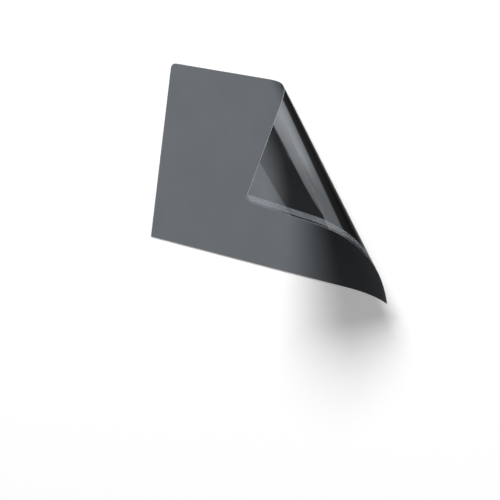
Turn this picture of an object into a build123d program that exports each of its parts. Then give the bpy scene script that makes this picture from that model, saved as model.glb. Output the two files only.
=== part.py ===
"""Laptop privacy filter: a stiff film sheet with a peeled corner and two adhesive strips on its back.

The sheet lies face up, with X along its width and Y towards its top edge. The peeled corner is rolled
about a cone: every ruling of the curl starts at the cone's apex, so the sheet bends without stretching.
"""
import os
from itertools import pairwise
from math import atan2, cos, degrees, radians, sin

from build123d import *

# Sheet
film_width = 353.0
film_height = 230.0
film_thickness = 0.55
corner_radius = 7.0

# Adhesive strips on the back
strip_width = 7.0
strip_thickness = 0.15
strip_margin = 2.0

# Peeled corner: where the fold line leaves the top edge, its slope, and the cone that it rolls about
fold_top = 142.0
fold_slope = 57.0
apex_distance = 145.0
curl_radius = 23.0
curl_turn = 140.0
turn_per_section = 10.0

# The fold line and the cone, on the back face of the flat sheet
right_edge = film_width / 2
top_edge = film_height / 2
strip_outer = right_edge - strip_margin
strip_inner = strip_outer - strip_width
strip_middle = (strip_outer + strip_inner) / 2
strip_end = top_edge - strip_margin
fold_start = Vector(fold_top - right_edge, top_edge, strip_thickness)
fold_direction = Vector(cos(radians(fold_slope)), -sin(radians(fold_slope)), 0)
sheet_centre = Vector(0, 0, strip_thickness)
face_up = Vector(0, 0, 1)
apex = fold_start - fold_direction * apex_distance
cone_half_angle = atan2(curl_radius, apex_distance)
cone_axis = Axis(apex, fold_direction * cos(cone_half_angle) + face_up * sin(cone_half_angle))
bend_angle = curl_turn * sin(cone_half_angle)


def carried(direction: Vector, ruling_angle: float) -> Vector:
    """Turn a direction of the flat sheet to where the curl carries it at one ruling."""
    turn = ruling_angle / sin(cone_half_angle)
    return direction.rotate(Axis.Z, -ruling_angle).rotate(cone_axis, turn)


def carried_plane(ruling_angle: float) -> Plane:
    """Plane that touches the curl along one ruling and keeps the flat sheet's coordinates."""
    return Plane(
        origin=apex + carried(sheet_centre - apex, ruling_angle),
        x_dir=carried(Vector(1, 0, 0), ruling_angle),
        z_dir=carried(face_up, ruling_angle),
    )


def ruling_angle_at(x: float, y: float) -> float:
    """Angle at the apex, in the flat sheet, between the fold line and a point."""
    across = fold_direction.rotate(Axis.Z, 90)
    reach = Vector(x, y, strip_thickness) - apex
    return degrees(atan2(reach.dot(across), reach.dot(fold_direction)))


def ruling_cut(ruling_angle: float) -> Plane:
    """Upright plane through one ruling of the flat sheet, facing the peeled corner."""
    direction = fold_direction.rotate(Axis.Z, ruling_angle)
    return Plane(origin=(apex.X, apex.Y, 0), x_dir=direction, z_dir=direction.rotate(Axis.Z, 90))


def ruling_section(ruling_angle: float, left: float, right: float, bottom: float, top: float,
                   low: float, high: float) -> Sketch:
    """Thin section of a rectangular layer along one ruling, between two heights over the sheet's back."""
    direction = fold_direction.rotate(Axis.Z, ruling_angle)
    crossings_x = sorted(((left - apex.X) / direction.X, (right - apex.X) / direction.X))
    crossings_y = sorted(((bottom - apex.Y) / direction.Y, (top - apex.Y) / direction.Y))
    near = max(crossings_x[0], crossings_y[0])
    far = min(crossings_x[1], crossings_y[1])
    ruling = carried(direction, ruling_angle)
    front = carried(face_up, ruling_angle)
    with BuildSketch(Plane(origin=apex, x_dir=ruling, z_dir=ruling.cross(front))) as section:
        with Locations(((near + far) / 2, (low + high) / 2)):
            Rectangle(far - near, high - low)
    return section.sketch


def film_face(plane: Plane, cut: Plane, keep: Keep) -> Sketch:
    """Outline of the sheet on one side of a ruling."""
    with BuildSketch(plane) as face:
        Rectangle(film_width, film_height)
        fillet(face.vertices().group_by(Axis.Y)[-1], corner_radius)
        split(bisect_by=cut, keep=keep)
    return face.sketch


def strip_face(plane: Plane, side: int, cut: Plane, keep: Keep) -> Sketch:
    """Outline of the strip along one side edge, inside the sheet's margin, on one side of a ruling."""
    with BuildSketch(plane) as face:
        Rectangle(film_width, film_height)
        fillet(face.vertices().group_by(Axis.Y)[-1], corner_radius)
        offset(amount=-strip_margin, mode=Mode.REPLACE)
        with Locations((side * strip_middle, 0)):
            Rectangle(strip_width, film_height, mode=Mode.INTERSECT)
        split(bisect_by=cut, keep=keep)
    return face.sketch


def spread(start: float, end: float) -> list[float]:
    """Ruling angles from start to end, close enough together to keep the curl round."""
    turn = (end - start) / sin(cone_half_angle)
    steps = max(2, round(turn / turn_per_section))
    return [start + (end - start) * step / steps for step in range(steps + 1)]


with BuildPart() as privacy_film:
    extrude(film_face(carried_plane(0), ruling_cut(0), Keep.BOTTOM), amount=film_thickness)
    corner_angle = ruling_angle_at(right_edge, -top_edge)
    bend_breaks = sorted({0, bend_angle, min(max(corner_angle, 0), bend_angle)})
    for start, end in pairwise(bend_breaks):
        loft([ruling_section(angle, -right_edge, right_edge, -top_edge, top_edge, 0, film_thickness)
              for angle in spread(start, end)])
    extrude(film_face(carried_plane(bend_angle), ruling_cut(bend_angle), Keep.TOP), amount=film_thickness)
privacy_film.part.label = "privacy_film"

with BuildPart() as right_adhesive_strip:
    lower_angle = ruling_angle_at(strip_inner, -strip_end)
    loft([ruling_section(angle, strip_inner, strip_outer, -film_height, strip_end, -strip_thickness, 0)
          for angle in spread(max(lower_angle, 0), bend_angle)])
    end_plane = carried_plane(max(ruling_angle_at(strip_middle, -strip_end), 0))
    end_point = end_plane.from_local_coords((strip_middle, -strip_end, 0))
    split(bisect_by=Plane(origin=end_point, z_dir=end_plane.y_dir), keep=Keep.TOP)
    if lower_angle < 0:
        extrude(strip_face(carried_plane(0), 1, ruling_cut(0), Keep.BOTTOM), amount=-strip_thickness)
    extrude(strip_face(carried_plane(bend_angle), 1, ruling_cut(bend_angle), Keep.TOP), amount=-strip_thickness)
right_adhesive_strip.part.label = "right_adhesive_strip"

with BuildPart() as left_adhesive_strip:
    extrude(strip_face(carried_plane(0), -1, ruling_cut(0), Keep.BOTTOM), amount=-strip_thickness)
left_adhesive_strip.part.label = "left_adhesive_strip"

os.makedirs("parts", exist_ok=True)
for piece in (privacy_film, right_adhesive_strip, left_adhesive_strip):
    export_step(piece.part, f"parts/{piece.part.label}.step")
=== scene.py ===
"""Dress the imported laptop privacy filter: a hazy film sheet with one corner peeled up and rolled back.

The film and its adhesive strips are cut as flat blanks. One Geometry Nodes tree then rolls them about the
same cone as the solids, so that the sheet bends without stretching.
"""
from __future__ import annotations

import logging
from dataclasses import dataclass
from enum import Enum, IntEnum
from itertools import pairwise
from math import atan2, cos, pi, radians, sin
from typing import ClassVar

import bmesh
import bpy
from mathutils import Matrix, Vector


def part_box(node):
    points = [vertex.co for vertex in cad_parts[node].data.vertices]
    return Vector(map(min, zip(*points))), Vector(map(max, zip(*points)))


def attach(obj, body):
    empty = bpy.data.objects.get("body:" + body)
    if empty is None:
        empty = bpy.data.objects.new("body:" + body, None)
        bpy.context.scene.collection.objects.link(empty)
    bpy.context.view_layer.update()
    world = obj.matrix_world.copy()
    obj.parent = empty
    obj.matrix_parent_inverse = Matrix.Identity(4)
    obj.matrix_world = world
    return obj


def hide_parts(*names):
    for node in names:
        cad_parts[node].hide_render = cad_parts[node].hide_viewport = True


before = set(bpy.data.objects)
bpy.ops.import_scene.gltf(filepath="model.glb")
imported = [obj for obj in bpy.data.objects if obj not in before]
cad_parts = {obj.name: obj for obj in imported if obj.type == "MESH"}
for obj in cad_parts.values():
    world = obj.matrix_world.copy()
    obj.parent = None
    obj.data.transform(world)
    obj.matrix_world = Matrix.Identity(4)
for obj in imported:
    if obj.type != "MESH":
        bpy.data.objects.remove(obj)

log = logging.getLogger("privacy_filter")

UP = Vector((0.0, 0.0, 1.0))
FLAT_PLACE = "flat_place"
FACE_SIDE = "face_side"

Point = tuple[float, float]
Span = tuple[float, float]
Place = tuple[float, float, float]
Colour = tuple[float, float, float, float]


class FaceSide(IntEnum):
    """Which way a face of the flat sheet looks, and so which finish it takes."""

    FRONT = 0
    BACK = 1
    EDGE = 2

    @property
    def finish_input(self) -> str:
        """Name of the rolling tree's input for this side's material."""
        return f"{self.name.title()} Finish"


class EdgeOfSheet(Enum):
    """The side edge that an adhesive strip runs along."""

    LEFT = "left"
    RIGHT = "right"


class Falloff(Enum):
    """How a ramp runs between its two ends, as Blender names it."""

    EVEN = "LINEAR"
    SOFT = "SMOOTHSTEP"


class SocketKind(Enum):
    """What an input or output of a node group carries, as Blender names it."""

    SHAPE = "NodeSocketGeometry"
    FINISH = "NodeSocketMaterial"
    VECTOR = "NodeSocketVector"
    NUMBER = "NodeSocketFloat"


class LampShape(Enum):
    """Outline of a soft lamp, as Blender names it."""

    BOX = "RECTANGLE"
    OVAL = "ELLIPSE"

    def area(self, width: float, height: float) -> float:
        """Give the area that this outline has at a size.

        Args:
            width: Its width.
            height: Its height.

        Returns:
            The area.
        """
        return width * height * (pi / 4 if self is LampShape.OVAL else 1.0)


def grey(level: float, blue: float = 1.0) -> Colour:
    """Opaque near-neutral colour, with blue as a factor on its last channel."""
    return (level, level * (1.0 + blue) / 2.0, level * blue, 1.0)


WHITE = grey(1.0)


def new_group(name: str, kind: str, inputs: dict[str, SocketKind],
              outputs: dict[str, SocketKind]) -> bpy.types.NodeTree:
    """Start a node group with its named inputs and outputs.

    Args:
        name: Name of the group.
        kind: Blender's name for the kind of tree.
        inputs: What each input carries.
        outputs: What each output carries.

    Returns:
        The group, with no nodes in it yet.
    """
    tree = bpy.data.node_groups.new(name, kind)
    for in_out, sockets in (("OUTPUT", outputs), ("INPUT", inputs)):
        for label, carried in sockets.items():
            tree.interface.new_socket(label, in_out=in_out, socket_type=carried.value)
    return tree


class NodeBench:
    """Adds and joins the nodes of one tree, so that a tree reads as a list of steps."""

    def __init__(self, tree: bpy.types.NodeTree) -> None:
        """Start with an emptied tree.

        Args:
            tree: The node tree to fill.
        """
        self.tree = tree
        self.tree.nodes.clear()

    def feed(self, socket: bpy.types.NodeSocket, value: object) -> None:
        """Join an input to a socket, or set it to a plain value.

        Args:
            socket: The input.
            value: The socket to join to it, or its plain value.
        """
        if isinstance(value, bpy.types.NodeSocket):
            self.tree.links.new(value, socket)
        else:
            socket.default_value = value

    def add(self, kind: str, settings: dict[str, object] | None = None,
            inputs: dict[str | int, object] | None = None) -> bpy.types.Node:
        """Add one node, set it up and join it.

        Args:
            kind: Blender's name for the node type.
            settings: Properties of the node itself.
            inputs: For each input, by name or index, a socket to join or a plain value.

        Returns:
            The new node.
        """
        node = self.tree.nodes.new(kind)
        for name, value in (settings or {}).items():
            setattr(node, name, value)
        for key, value in (inputs or {}).items():
            self.feed(node.inputs[key], value)
        return node

    def math(self, operation: str, *values: object) -> bpy.types.NodeSocket:
        """Add a Math node and give its result.

        Args:
            operation: The Math node's operation.
            values: Its inputs in order, as sockets or numbers.

        Returns:
            The result's socket.
        """
        kind = "ShaderNodeMath"
        return self.add(kind, {"operation": operation}, dict(enumerate(values))).outputs[0]

    def vector(self, operation: str, *values: object, result: str = "Vector") -> bpy.types.NodeSocket:
        """Add a Vector Math node and give one of its results.

        Args:
            operation: The Vector Math node's operation.
            values: Its inputs in order, as sockets or vectors.
            result: Name of the output, Vector or Value.

        Returns:
            The result's socket.
        """
        kind = "ShaderNodeVectorMath"
        return self.add(kind, {"operation": operation}, dict(enumerate(values))).outputs[result]

    def turn(self, place: bpy.types.NodeSocket, centre: bpy.types.NodeSocket, axis: object,
             angle: bpy.types.NodeSocket) -> bpy.types.NodeSocket:
        """Add a Vector Rotate node and give the turned place.

        Args:
            place: The place to turn.
            centre: A point on the axis.
            axis: Direction of the axis, as a socket or a vector.
            angle: The angle, in radians.

        Returns:
            The turned place's socket.
        """
        return self.add(
            "ShaderNodeVectorRotate",
            {"rotation_type": "AXIS_ANGLE"},
            {"Vector": place, "Center": centre, "Axis": axis, "Angle": angle},
        ).outputs[0]

    def ramp(self, value: bpy.types.NodeSocket, reach: Span = (0.0, 1.0), levels: Span = (0.0, 1.0),
             falloff: Falloff = Falloff.EVEN) -> bpy.types.NodeSocket:
        """Add a Map Range node and give its result.

        Args:
            value: The value that drives the ramp.
            reach: That value where the ramp starts and where it ends.
            levels: The result at the start and at the end.
            falloff: How the ramp runs between them.

        Returns:
            The result's socket.
        """
        return self.add(
            "ShaderNodeMapRange",
            {"interpolation_type": falloff.value},
            {
                "Value": value,
                "From Min": reach[0],
                "From Max": reach[1],
                "To Min": levels[0],
                "To Max": levels[1],
            },
        ).outputs[0]

    def blend(self, mask: bpy.types.NodeSocket, first: object, second: object) -> bpy.types.NodeSocket:
        """Add a Mix node between two colours and give its result.

        Args:
            mask: The first colour shows where it is 0, the second where it is 1.
            first: A colour, or the socket of one.
            second: A colour, or the socket of one.

        Returns:
            The mixed colour's socket.
        """
        node = self.add("ShaderNodeMix", {"data_type": "RGBA"}, {"Factor": mask})
        ends = [socket for socket in node.inputs if socket.type == "RGBA"]
        for socket, colour in zip(ends, (first, second), strict=True):
            self.feed(socket, colour)
        return next(socket for socket in node.outputs if socket.type == "RGBA")


@dataclass(frozen=True)
class ConicalCurl:
    """The cone that the peeled corner is rolled about, laid out on the back face of the flat sheet."""

    tree_name: ClassVar[str] = "conical_curl"

    fold_start: Vector
    fold_slope: float = 57.0
    apex_distance: float = 0.145
    radius: float = 0.023
    turn: float = 140.0
    turn_per_ruling: float = 2.0
    # Angle of the extra rulings just outside the bend, which keep the shading of the flat parts flat.
    fold_border: float = 0.15

    @property
    def fold_line(self) -> Vector:
        """Direction of the fold line, from the top edge down the sheet."""
        slope = radians(self.fold_slope)
        return Vector((cos(slope), -sin(slope), 0.0))

    @property
    def apex(self) -> Vector:
        """Tip of the cone, beyond the top edge on the fold line."""
        return self.fold_start - self.fold_line * self.apex_distance

    @property
    def half_angle(self) -> float:
        """Half angle of the cone, in radians."""
        return atan2(self.radius, self.apex_distance)

    @property
    def axis(self) -> Vector:
        """Direction of the cone's axis."""
        return self.fold_line * cos(self.half_angle) + UP * sin(self.half_angle)

    @property
    def bend_angle(self) -> float:
        """Angle at the apex that the bent part of the flat sheet covers, in radians."""
        return radians(self.turn) * sin(self.half_angle)

    def ruling_normals(self) -> list[Vector]:
        """Lay out the rulings that the flat sheet is cut along before it is rolled.

        Returns:
            For each ruling, the direction across it in the flat sheet.
        """
        steps = round(self.turn / self.turn_per_ruling)
        border = radians(self.fold_border)
        angles = [self.bend_angle * step / steps for step in range(steps + 1)]
        across = UP.cross(self.fold_line)
        return [
            Matrix.Rotation(angle, 3, "Z") @ across
            for angle in [-border, *angles, self.bend_angle + border]
        ]

    def tree(self) -> bpy.types.NodeTree:
        """Build the Geometry Nodes tree that rolls a flat blank and gives each side its material.

        Returns:
            The tree, the same one on each call.
        """
        if self.tree_name in bpy.data.node_groups:
            return bpy.data.node_groups[self.tree_name]
        inputs = {
            "Blank": SocketKind.SHAPE,
            "Apex": SocketKind.VECTOR,
            "Fold Line": SocketKind.VECTOR,
            "Cone Axis": SocketKind.VECTOR,
            "Half Angle": SocketKind.NUMBER,
            "Bend Angle": SocketKind.NUMBER,
        }
        inputs |= {side.finish_input: SocketKind.FINISH for side in FaceSide}
        tree = new_group(self.tree_name, "GeometryNodeTree", inputs, {"Rolled": SocketKind.SHAPE})

        bench = NodeBench(tree)
        given = bench.add("NodeGroupInput").outputs
        place = bench.add("GeometryNodeInputPosition").outputs[0]
        kept = bench.add(
            "GeometryNodeStoreNamedAttribute",
            {"data_type": "FLOAT_VECTOR", "domain": "POINT"},
            {"Geometry": given["Blank"], "Name": FLAT_PLACE, "Value": place},
        )
        # The angle at the apex from the fold line to each point, as far as the bend goes.
        reach = bench.vector("SUBTRACT", place, given["Apex"])
        across_line = bench.vector("CROSS_PRODUCT", tuple(UP), given["Fold Line"])
        along = bench.vector("DOT_PRODUCT", reach, given["Fold Line"], result="Value")
        across = bench.vector("DOT_PRODUCT", reach, across_line, result="Value")
        ruling = bench.math("ARCTAN2", across, along)
        bent = bench.math("MINIMUM", bench.math("MAXIMUM", ruling, 0.0), given["Bend Angle"])
        # Each point turns back to the fold line in the flat sheet, then forward about the cone's axis.
        back = bench.math("MULTIPLY", bent, -1.0)
        on_fold_line = bench.turn(place, given["Apex"], tuple(UP), back)
        turned = bench.math("DIVIDE", bent, bench.math("SINE", given["Half Angle"]))
        rolled = bench.turn(on_fold_line, given["Apex"], given["Cone Axis"], turned)
        moved = bench.add(
            "GeometryNodeSetPosition",
            inputs={"Geometry": kept.outputs[0], "Position": rolled},
        )
        result = bench.add("GeometryNodeRealizeInstances", inputs={0: moved.outputs[0]}).outputs[0]
        face_side = bench.add("GeometryNodeInputNamedAttribute", {"data_type": "INT"}, {"Name": FACE_SIDE})
        for side in FaceSide:
            chosen = bench.add("FunctionNodeCompare", {"data_type": "INT", "operation": "EQUAL"})
            whole_numbers = [socket for socket in chosen.inputs if socket.type == "INT"]
            bench.feed(whole_numbers[0], face_side.outputs[0])
            bench.feed(whole_numbers[1], int(side))
            result = bench.add(
                "GeometryNodeSetMaterial",
                inputs={
                    "Geometry": result,
                    "Selection": chosen.outputs[0],
                    "Material": given[side.finish_input],
                },
            ).outputs[0]
        bench.add("NodeGroupOutput", inputs={0: result})
        return tree

    def roll(self, piece: bpy.types.Object, finishes: dict[FaceSide, bpy.types.Material]) -> None:
        """Roll a flat piece about the cone and leave it as a plain mesh.

        Args:
            piece: The flat piece, changed in place.
            finishes: The material of each side.
        """
        tree = self.tree()
        modifier = piece.modifiers.new(self.tree_name, "NODES")
        modifier.node_group = tree
        values = {
            "Apex": tuple(self.apex),
            "Fold Line": tuple(self.fold_line),
            "Cone Axis": tuple(self.axis),
            "Half Angle": self.half_angle,
            "Bend Angle": self.bend_angle,
        }
        values |= {side.finish_input: finish for side, finish in finishes.items()}
        for socket in tree.interface.items_tree:
            if socket.item_type == "SOCKET" and socket.name in values:
                modifier[socket.identifier] = values[socket.name]
        graph = bpy.context.evaluated_depsgraph_get()
        graph.update()
        rolled = bpy.data.meshes.new_from_object(piece.evaluated_get(graph))
        blank = piece.data
        piece.modifiers.remove(modifier)
        piece.data = rolled
        bpy.data.meshes.remove(blank)
        rolled.name = piece.name


@dataclass(frozen=True)
class FlatBlank:
    """A thin closed sheet cut flat: a rectangle whose top corners may be rounded, slanted round its back."""

    left: float
    right: float
    bottom: float
    top: float
    low: float
    high: float
    top_left_radius: float = 0.0
    top_right_radius: float = 0.0
    slant_width: float = 0.0004
    slant_depth: float = 0.00012
    front_round: float = 0.00008
    corner_steps: int = 10
    cut_tolerance: float = 1e-7
    # Faces that meet at a smaller angle than this one, in degrees, shade as one.
    crease_angle: float = 20.0
    # A face whose normal points up or down by more than this lies flat.
    level_normal: float = 0.999

    def outline(self, inset: float) -> list[Point]:
        """Walk round the outline, anticlockwise seen from the front.

        Args:
            inset: How far inside the sheet's edge to walk.

        Returns:
            The outline's points.
        """
        low = self.bottom + inset
        points: list[Point] = [(self.left + inset, low), (self.right - inset, low)]
        points += self._corner(self.right, -1.0, self.top_right_radius, 0.0, inset)
        points += self._corner(self.left, 1.0, self.top_left_radius, pi / 2, inset)
        return points

    def _corner(self, side: float, inwards: float, radius: float, start: float, inset: float) -> list[Point]:
        """Round one top corner.

        Args:
            side: X of the side edge.
            inwards: Sign of the direction from that edge to the middle.
            radius: Radius of the corner at the edge, or 0 for a square one.
            start: Angle at which the arc starts, in radians.
            inset: How far inside the sheet's edge to walk.

        Returns:
            The corner's points.
        """
        if radius <= 0.0:
            return [(side + inwards * inset, self.top - inset)]
        middle = (side + inwards * radius, self.top - radius)
        reach = radius - inset
        angles = [start + pi / 2 * step / self.corner_steps for step in range(self.corner_steps + 1)]
        return [(middle[0] + reach * cos(angle), middle[1] + reach * sin(angle)) for angle in angles]

    def piece(self, name: str, curl: ConicalCurl) -> bpy.types.Object:
        """Cut the blank, with its rim slanted and its rulings scored.

        Args:
            name: Name of the piece.
            curl: The curl whose rulings are scored.

        Returns:
            The flat piece, linked to the scene.
        """
        shape = bmesh.new()
        rim = [
            (self.slant_width, self.low),
            (0.0, self.low + self.slant_depth),
            (0.0, self.high - self.front_round),
            (self.front_round, self.high),
        ]
        loops = [[shape.verts.new((x, y, level)) for x, y in self.outline(inset)] for inset, level in rim]
        shape.faces.new(list(reversed(loops[0])))
        shape.faces.new(loops[-1])
        for under, over in pairwise(loops):
            for step, corner in enumerate(under):
                before = step - 1
                shape.faces.new((under[before], corner, over[step], over[before]))
        self._mark_sides(shape)
        for normal in curl.ruling_normals():
            everything = [*shape.verts, *shape.edges, *shape.faces]
            bmesh.ops.bisect_plane(
                shape, geom=everything, dist=self.cut_tolerance, plane_co=curl.apex, plane_no=normal,
            )
        self._mark_creases(shape)
        mesh = bpy.data.meshes.new(name)
        shape.to_mesh(mesh)
        shape.free()
        made = bpy.data.objects.new(name, mesh)
        bpy.context.scene.collection.objects.link(made)
        return made

    def _mark_sides(self, shape: bmesh.types.BMesh) -> None:
        """Write on each face which side of the sheet it is, and shade it smooth.

        Args:
            shape: The blank's mesh, still flat.
        """
        layer = shape.faces.layers.int.new(FACE_SIDE)
        for face in shape.faces:
            face.normal_update()
            face.smooth = True
            if face.normal.z > self.level_normal:
                face[layer] = FaceSide.FRONT
            elif face.normal.z < -self.level_normal:
                face[layer] = FaceSide.BACK
            else:
                face[layer] = FaceSide.EDGE

    def _mark_creases(self, shape: bmesh.types.BMesh) -> None:
        """Keep every corner of the rim crisp, so that only the rulings and rounded corners shade smooth.

        Args:
            shape: The blank's mesh, still flat.
        """
        side = shape.faces.layers.int[FACE_SIDE]
        for edge in shape.edges:
            one_side = len({face[side] for face in edge.link_faces}) == 1
            edge.smooth = one_side and abs(edge.calc_face_angle(0.0)) < radians(self.crease_angle)


class SurfaceMarks:
    """Shader node group of the unevenness that all finishes share: slow patches and a fine grain."""

    name = "surface_marks"
    patch_detail = 3.0
    patch_roughness = 0.55
    patch_spread = (0.3, 0.7)
    grain_detail = 1.0
    grain_roughness = 0.5

    @classmethod
    def group(cls) -> bpy.types.NodeTree:
        """Build the group once.

        Returns:
            The group, the same one on each call.
        """
        if cls.name in bpy.data.node_groups:
            return bpy.data.node_groups[cls.name]
        inputs = {
            "Place": SocketKind.VECTOR,
            "Patches per Metre": SocketKind.NUMBER,
            "Grains per Metre": SocketKind.NUMBER,
        }
        outputs = {"Patches": SocketKind.NUMBER, "Grain": SocketKind.NUMBER}
        tree = new_group(cls.name, "ShaderNodeTree", inputs, outputs)
        bench = NodeBench(tree)
        given = bench.add("NodeGroupInput").outputs
        patches = bench.add(
            "ShaderNodeTexNoise",
            inputs={
                "Vector": given["Place"],
                "Scale": given["Patches per Metre"],
                "Detail": cls.patch_detail,
                "Roughness": cls.patch_roughness,
            },
        )
        spread = bench.ramp(patches.outputs[0], cls.patch_spread, falloff=Falloff.SOFT)
        grain = bench.add(
            "ShaderNodeTexNoise",
            inputs={
                "Vector": given["Place"],
                "Scale": given["Grains per Metre"],
                "Detail": cls.grain_detail,
                "Roughness": cls.grain_roughness,
            },
        )
        bench.add("NodeGroupOutput", inputs={"Patches": spread, "Grain": grain.outputs[0]})
        return tree


@dataclass(frozen=True)
class FilmFinish:
    """A finish whose colour, gloss and grain vary a little over the sheet."""

    name: str
    colour: Colour
    patch_colour: Colour
    roughness: Span
    ior: float
    patches_per_metre: float
    grains_per_metre: float
    grain_height: float
    metallic: float = 0.0
    glancing: Colour = WHITE
    # Where the gloss colour is painted dark at a slant, as a painted dark reflection, and the dark colour it
    # takes there.
    painted_band_slant: Span | None = None
    painted_band_colour: Colour = grey(0.02)
    alpha: Span | None = None

    def material(self) -> bpy.types.Material:
        """Build the material once.

        Returns:
            The material, the same one on each call.
        """
        if self.name in bpy.data.materials:
            return bpy.data.materials[self.name]
        material = bpy.data.materials.new(self.name)
        material.use_nodes = True
        bench = NodeBench(material.node_tree)
        place = bench.add("ShaderNodeAttribute", {"attribute_name": FLAT_PLACE}).outputs["Vector"]
        marks = bench.add(
            "ShaderNodeGroup",
            {"node_tree": SurfaceMarks.group()},
            {
                "Place": place,
                "Patches per Metre": self.patches_per_metre,
                "Grains per Metre": self.grains_per_metre,
            },
        )
        patches = marks.outputs["Patches"]
        colour = bench.blend(patches, self.colour, self.patch_colour)
        # Painted dark reflection: the gloss colour goes dark at a slant.
        if self.painted_band_slant is not None:
            colour = self._paint_band_at_a_slant(bench, colour, self.painted_band_slant)
        bump = bench.add(
            "ShaderNodeBump",
            inputs={"Height": marks.outputs["Grain"], "Distance": self.grain_height, "Strength": 1.0},
        )
        shader = bench.add(
            "ShaderNodeBsdfPrincipled",
            inputs={
                "Base Color": colour,
                "Roughness": bench.ramp(patches, levels=self.roughness),
                "IOR": self.ior,
                "Metallic": self.metallic,
                "Specular Tint": self.glancing,
                "Normal": bump.outputs[0],
            },
        )
        if self.alpha is not None:
            bench.feed(shader.inputs["Alpha"], bench.ramp(patches, levels=self.alpha))
        bench.add("ShaderNodeOutputMaterial", inputs={"Surface": shader.outputs[0]})
        return material

    def _paint_band_at_a_slant(self, bench: NodeBench, gloss: bpy.types.NodeSocket,
                         slant: Span) -> bpy.types.NodeSocket:
        """Paint the gloss dark at a slant. This painted dark reflection gives the dark band on the back
        beside the fold.

        Args:
            bench: The tree's bench.
            gloss: Colour of the gloss seen straight on.
            slant: Where it starts to die and where it is gone, from 0 straight on to 1 edge on.

        Returns:
            Socket of the gloss's colour, with the painted dark band in it.
        """
        facing = bench.add("ShaderNodeLayerWeight").outputs["Facing"]
        painted_band = bench.ramp(facing, slant, falloff=Falloff.SOFT)
        return bench.blend(painted_band, gloss, self.painted_band_colour)


HAZY_FRONT = FilmFinish(
    name="hazy_front",
    colour=grey(0.148, 1.18),
    patch_colour=grey(0.157, 1.18),
    roughness=(0.42, 0.48),
    ior=1.12,
    patches_per_metre=14.0,
    grains_per_metre=2600.0,
    grain_height=0.000004,
)
MIRROR_BACK = FilmFinish(
    name="mirror_back",
    colour=grey(0.14, 1.12),
    patch_colour=grey(0.155, 1.12),
    roughness=(0.012, 0.024),
    ior=1.5,
    patches_per_metre=22.0,
    grains_per_metre=60.0,
    grain_height=0.000002,
    metallic=1.0,
    glancing=grey(0.45),
    # The gloss colour is painted dark at this slant, which paints the dark band beside the fold.
    painted_band_slant=(0.35, 0.405),
)
CUT_EDGE = FilmFinish(
    name="cut_edge",
    colour=grey(0.24, 1.04),
    patch_colour=grey(0.19, 1.04),
    roughness=(0.5, 0.6),
    ior=1.2,
    patches_per_metre=90.0,
    grains_per_metre=2000.0,
    grain_height=0.000002,
)
CLEAR_ADHESIVE = FilmFinish(
    name="clear_adhesive",
    colour=grey(0.5, 1.2),
    patch_colour=grey(0.54, 1.2),
    roughness=(0.2, 0.26),
    ior=1.48,
    patches_per_metre=60.0,
    grains_per_metre=400.0,
    grain_height=0.0000004,
    alpha=(0.14, 0.18),
)


@dataclass
class PrivacyFilm:
    """The film sheet: hazy in front, a dark mirror behind, pale along its cut edge."""

    width: float
    height: float
    back_level: float
    thickness: float = 0.00055
    corner_radius: float = 0.007
    fold_from_left: float = 0.142
    node: str = "privacy_film"

    @property
    def fold_start(self) -> Vector:
        """Where the fold line leaves the top edge, on the back face of the flat sheet."""
        return Vector((self.fold_from_left - self.width / 2, self.height / 2, self.back_level))

    def build(self, curl: ConicalCurl) -> bpy.types.Object:
        """Cut, roll and dress the film, and put it in its node's place.

        Args:
            curl: The curl of the peeled corner.

        Returns:
            The finished piece.
        """
        blank = FlatBlank(
            left=-self.width / 2,
            right=self.width / 2,
            bottom=-self.height / 2,
            top=self.height / 2,
            low=self.back_level,
            high=self.back_level + self.thickness,
            top_left_radius=self.corner_radius,
            top_right_radius=self.corner_radius,
        )
        film = blank.piece("film_sheet", curl)
        curl.roll(film, {
            FaceSide.FRONT: HAZY_FRONT.material(),
            FaceSide.BACK: MIRROR_BACK.material(),
            FaceSide.EDGE: CUT_EDGE.material(),
        })
        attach(film, "root")
        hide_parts(self.node)
        return film


@dataclass
class AdhesiveStrip:
    """A clear adhesive strip on the film's back, along one of its side edges."""

    edge: EdgeOfSheet
    film: PrivacyFilm
    width: float
    margin: float
    slant_width: float = 0.0002
    slant_depth: float = 0.00008
    front_round: float = 0.00001
    # How far the strip sinks into the film's back, so that no gap shows between them.
    wetted_depth: float = 0.00002

    @property
    def node(self) -> str:
        """Name of the strip's node, after its edge."""
        return f"{self.edge.value}_adhesive_strip"

    def build(self, curl: ConicalCurl) -> bpy.types.Object:
        """Cut, roll and dress the strip, and put it in its node's place.

        Args:
            curl: The curl of the peeled corner.

        Returns:
            The finished piece.
        """
        outer = self.film.width / 2 - self.margin
        inner = outer - self.width
        end = self.film.height / 2 - self.margin
        corner = self.film.corner_radius - self.margin
        on_right = self.edge is EdgeOfSheet.RIGHT
        blank = FlatBlank(
            left=inner if on_right else -outer,
            right=outer if on_right else -inner,
            bottom=-end,
            top=end,
            low=0.0,
            high=self.film.back_level + self.wetted_depth,
            top_left_radius=0.0 if on_right else corner,
            top_right_radius=corner if on_right else 0.0,
            slant_width=self.slant_width,
            slant_depth=self.slant_depth,
            front_round=self.front_round,
        )
        strip = blank.piece(f"{self.edge.value}_strip", curl)
        curl.roll(strip, dict.fromkeys(FaceSide, CLEAR_ADHESIVE.material()))
        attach(strip, "root")
        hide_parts(self.node)
        return strip


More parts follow.
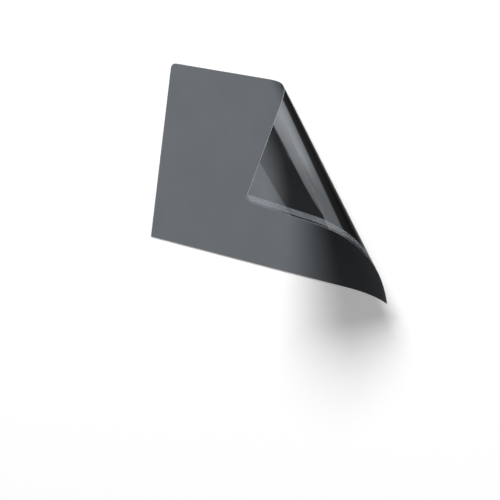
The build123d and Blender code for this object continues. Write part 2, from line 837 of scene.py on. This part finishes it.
@dataclass(frozen=True)
class Softbox:
    """A flat soft lamp that looks from its place towards a point."""

    name: str
    place: Place
    aim: Place
    width: float
    height: float
    brightness: float
    shape: LampShape = LampShape.BOX
    tint: tuple[float, float, float] = (1.0, 1.0, 1.0)
    for_gloss_only: bool = False

    def hang(self) -> None:
        """Make the lamp, as bright to look at as its brightness says, where 1 is white."""
        away = Vector(self.place) - Vector(self.aim)
        lamp = bpy.data.lights.new(self.name, "AREA")
        lamp.shape = self.shape.value
        lamp.size = self.width
        lamp.size_y = self.height
        lamp.energy = self.brightness * pi * self.shape.area(self.width, self.height)
        lamp.color = self.tint
        made = bpy.data.objects.new(self.name, lamp)
        made.location = self.place
        made.rotation_euler = away.to_track_quat("Z", "Y").to_euler()
        made.visible_camera = False
        made.visible_diffuse = not self.for_gloss_only
        bpy.context.scene.collection.objects.link(made)


@dataclass(frozen=True)
class LightRamp:
    """A brightness that runs between two levels along one direction, in the surroundings or on the floor."""

    towards: Place
    starts: float
    ends: float
    low: float = 0.0
    high: float = 1.0
    falloff: Falloff = Falloff.EVEN

    def level(self, bench: NodeBench, place: bpy.types.NodeSocket) -> bpy.types.NodeSocket:
        """Give the brightness at a place, or in a direction.

        Args:
            bench: The bench of the tree.
            place: The place on the floor, or the direction looked in.

        Returns:
            The brightness's socket.
        """
        reached = bench.vector("DOT_PRODUCT", place, self.towards, result="Value")
        return bench.ramp(reached, (self.starts, self.ends), (self.low, self.high), self.falloff)


@dataclass(frozen=True)
class PhotoCamera:
    """Camera at the photograph's angle, aimed at a point of the floor and turned about its sight line."""

    name: str = "photo_camera"
    target: Place = (-0.0261, -0.0998, 0.0)
    distance: float = 1.3512
    elevation: float = 59.74
    azimuth: float = 24.83
    roll: float = -103.88
    lens: float = 76.92
    sensor_width: float = 36.0

    def place(self) -> None:
        """Make the scene's camera."""
        azimuth = radians(self.azimuth)
        elevation = radians(self.elevation)
        roll = radians(self.roll)
        back = Vector((cos(azimuth) * cos(elevation), sin(azimuth) * cos(elevation), sin(elevation)))
        level_right = UP.cross(back).normalized()
        level_up = back.cross(level_right)
        up = level_up * cos(roll) - level_right * sin(roll)
        right = up.cross(back)
        turned = Matrix((right, up, back)).transposed().to_4x4()
        data = bpy.data.cameras.new(self.name)
        data.sensor_width = self.sensor_width
        data.lens = self.lens
        camera = bpy.data.objects.new(self.name, data)
        camera.matrix_world = Matrix.Translation(Vector(self.target) + back * self.distance) @ turned
        bpy.context.scene.collection.objects.link(camera)
        bpy.context.scene.camera = camera


@dataclass(frozen=True)
class Studio:
    """Plain pale floor, dim surroundings and soft lamps.

    The floor and the surroundings are white to the camera. Gloss meets dim surroundings instead, with a
    window, a soft spot, a side panel and two glows on the floor. They are placed to give the mirrored back
    the light and dark patches that it has in the photograph.
    """

    floor_side: float = 12.0
    floor_drop: float = 0.0003
    floor_colour: Colour = grey(0.78)
    floor_roughness: float = 0.9
    floor_lift: LightRamp = LightRamp(towards=(0.0, -1.0, 0.0), starts=0.6, ends=6.0, low=0.31, high=0.85)
    floor_side_glow: LightRamp = LightRamp(towards=(-0.9116, 0.4111, 0.0), starts=-0.1104, ends=-0.0539)
    floor_far_glow: LightRamp = LightRamp(
        towards=(0.0, 1.0, 0.0), starts=0.1055, ends=0.2614, low=0.27, high=0.89,
    )
    matt_fill: float = 0.07
    dusk: LightRamp = LightRamp(towards=(0.84, 0.54, 0.0), starts=0.2, ends=0.65, low=0.02, high=0.12)
    window_side: LightRamp = LightRamp(
        towards=(-0.4191, 0.86439, -0.27782), starts=0.56, ends=0.568, falloff=Falloff.SOFT,
    )
    window_top: LightRamp = LightRamp(
        towards=(0.47839, 0.24169, -0.84424), starts=0.0012, ends=0.0024, falloff=Falloff.SOFT,
    )
    window_light: LightRamp = LightRamp(
        towards=(-0.4803, 0.8442, -0.2381), starts=0.531, ends=0.596, low=0.62, high=1.75,
    )
    soft_spot: LightRamp = LightRamp(
        towards=(0.11162, 0.8483, 0.51762), starts=0.98346, ends=0.98769, high=0.6, falloff=Falloff.SOFT,
    )
    lamps: tuple[Softbox, ...] = (
        Softbox(
            name="key_softbox",
            place=(-3.45, 12.2, 7.3),
            aim=(0.13, -0.06, 0.02),
            width=6.8,
            height=4.4,
            brightness=48.2,
            shape=LampShape.OVAL,
        ),
        Softbox(
            name="side_panel",
            place=(0.435, 1.534, 1.06),
            aim=(-0.404, 0.989, 1.06),
            width=0.9,
            height=0.5,
            brightness=0.41,
            tint=(0.9, 0.96, 1.0),
            for_gloss_only=True,
        ),
    )

    def build(self) -> None:
        """Set up the floor, the surroundings, the lamps and the colour handling."""
        self._floor()
        bpy.context.scene.world = self._surroundings()
        for lamp in self.lamps:
            lamp.hang()
        bpy.context.scene.view_settings.view_transform = "Standard"

    def _surroundings(self) -> bpy.types.World:
        """Make the surroundings: white to look at, a dim fill on matt faces, a window and a spot in gloss.

        Returns:
            The world.
        """
        world = bpy.data.worlds.new("surroundings")
        world.use_nodes = True
        bench = NodeBench(world.node_tree)
        direction = bench.add("ShaderNodeTexCoord").outputs["Generated"]
        ray = bench.add("ShaderNodeLightPath").outputs
        opening = bench.math(
            "MULTIPLY", self.window_side.level(bench, direction), self.window_top.level(bench, direction),
        )
        window = bench.math("MULTIPLY", opening, self.window_light.level(bench, direction))
        shown = bench.math("ADD", window, self.soft_spot.level(bench, direction))
        in_gloss = bench.math("MULTIPLY", shown, ray["Is Glossy Ray"])
        matt = bench.math("SUBTRACT", 1.0, ray["Is Glossy Ray"])
        dim = bench.math("MULTIPLY_ADD", matt, self.matt_fill, self.dusk.level(bench, direction))
        level = bench.math("MAXIMUM", bench.math("ADD", dim, in_gloss), self._looked_at(bench, ray))
        backdrop = bench.add("ShaderNodeBackground", inputs={"Color": WHITE, "Strength": level})
        bench.add("ShaderNodeOutputWorld", inputs={"Surface": backdrop.outputs[0]})
        return world

    @staticmethod
    def _looked_at(bench: NodeBench, ray: bpy.types.bpy_prop_collection) -> bpy.types.NodeSocket:
        """Say whether a ray comes from the camera, straight or through something clear.

        Args:
            bench: The bench of the tree.
            ray: Outputs of the tree's Light Path node.

        Returns:
            Socket that is 1 for such a ray.
        """
        return bench.math("MAXIMUM", ray["Is Camera Ray"], ray["Is Transmission Ray"])

    def _floor(self) -> bpy.types.Object:
        """Lay the floor, just clear of the sheet.

        Returns:
            The floor's object.
        """
        half = self.floor_side / 2
        corners = [(-half, -half), (half, -half), (half, half), (-half, half)]
        mesh = bpy.data.meshes.new("floor")
        mesh.from_pydata([(x, y, -self.floor_drop) for x, y in corners], [], [(0, 1, 2, 3)])
        mesh.materials.append(self._floor_material())
        floor = bpy.data.objects.new("floor", mesh)
        bpy.context.scene.collection.objects.link(floor)
        return floor

    def _floor_material(self) -> bpy.types.Material:
        """Make the floor's matt paint, lifted to white where it is looked at, with its glows in gloss.

        Returns:
            The floor's material.
        """
        material = bpy.data.materials.new("pale_floor")
        material.use_nodes = True
        bench = NodeBench(material.node_tree)
        place = bench.add("ShaderNodeTexCoord").outputs["Object"]
        ray = bench.add("ShaderNodeLightPath").outputs
        side_glow = self.floor_side_glow.level(bench, place)
        glow = bench.math("MULTIPLY", side_glow, self.floor_far_glow.level(bench, place))
        in_gloss = bench.math("MULTIPLY", glow, ray["Is Glossy Ray"])
        lift = self.floor_lift.level(bench, place)
        paint = bench.add(
            "ShaderNodeBsdfPrincipled",
            inputs={
                "Base Color": self.floor_colour,
                "Roughness": self.floor_roughness,
                "Emission Color": WHITE,
                "Emission Strength": bench.math("MULTIPLY_ADD", self._looked_at(bench, ray), lift, in_gloss),
            },
        )
        bench.add("ShaderNodeOutputMaterial", inputs={"Surface": paint.outputs[0]})
        return material


def main() -> None:
    """Build the studio and the pieces."""
    logging.basicConfig(level=logging.INFO, format="%(name)s: %(message)s")
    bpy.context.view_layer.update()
    film_low, film_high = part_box("privacy_film")
    strip_low, strip_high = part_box("left_adhesive_strip")

    Studio().build()
    PhotoCamera().place()
    film = PrivacyFilm(width=-2 * film_low.x, height=2 * film_high.y, back_level=strip_high.z)
    curl = ConicalCurl(film.fold_start)
    strip_width = strip_high.x - strip_low.x
    strip_margin = strip_low.x - film_low.x
    strips = [AdhesiveStrip(edge, film, strip_width, strip_margin) for edge in EdgeOfSheet]
    for sub_assembly in (film, *strips):
        piece = sub_assembly.build(curl)
        log.info("%s: %d faces", piece.name, len(piece.data.polygons))

    bpy.context.view_layer.update()


if __name__ == "__main__":
    main()
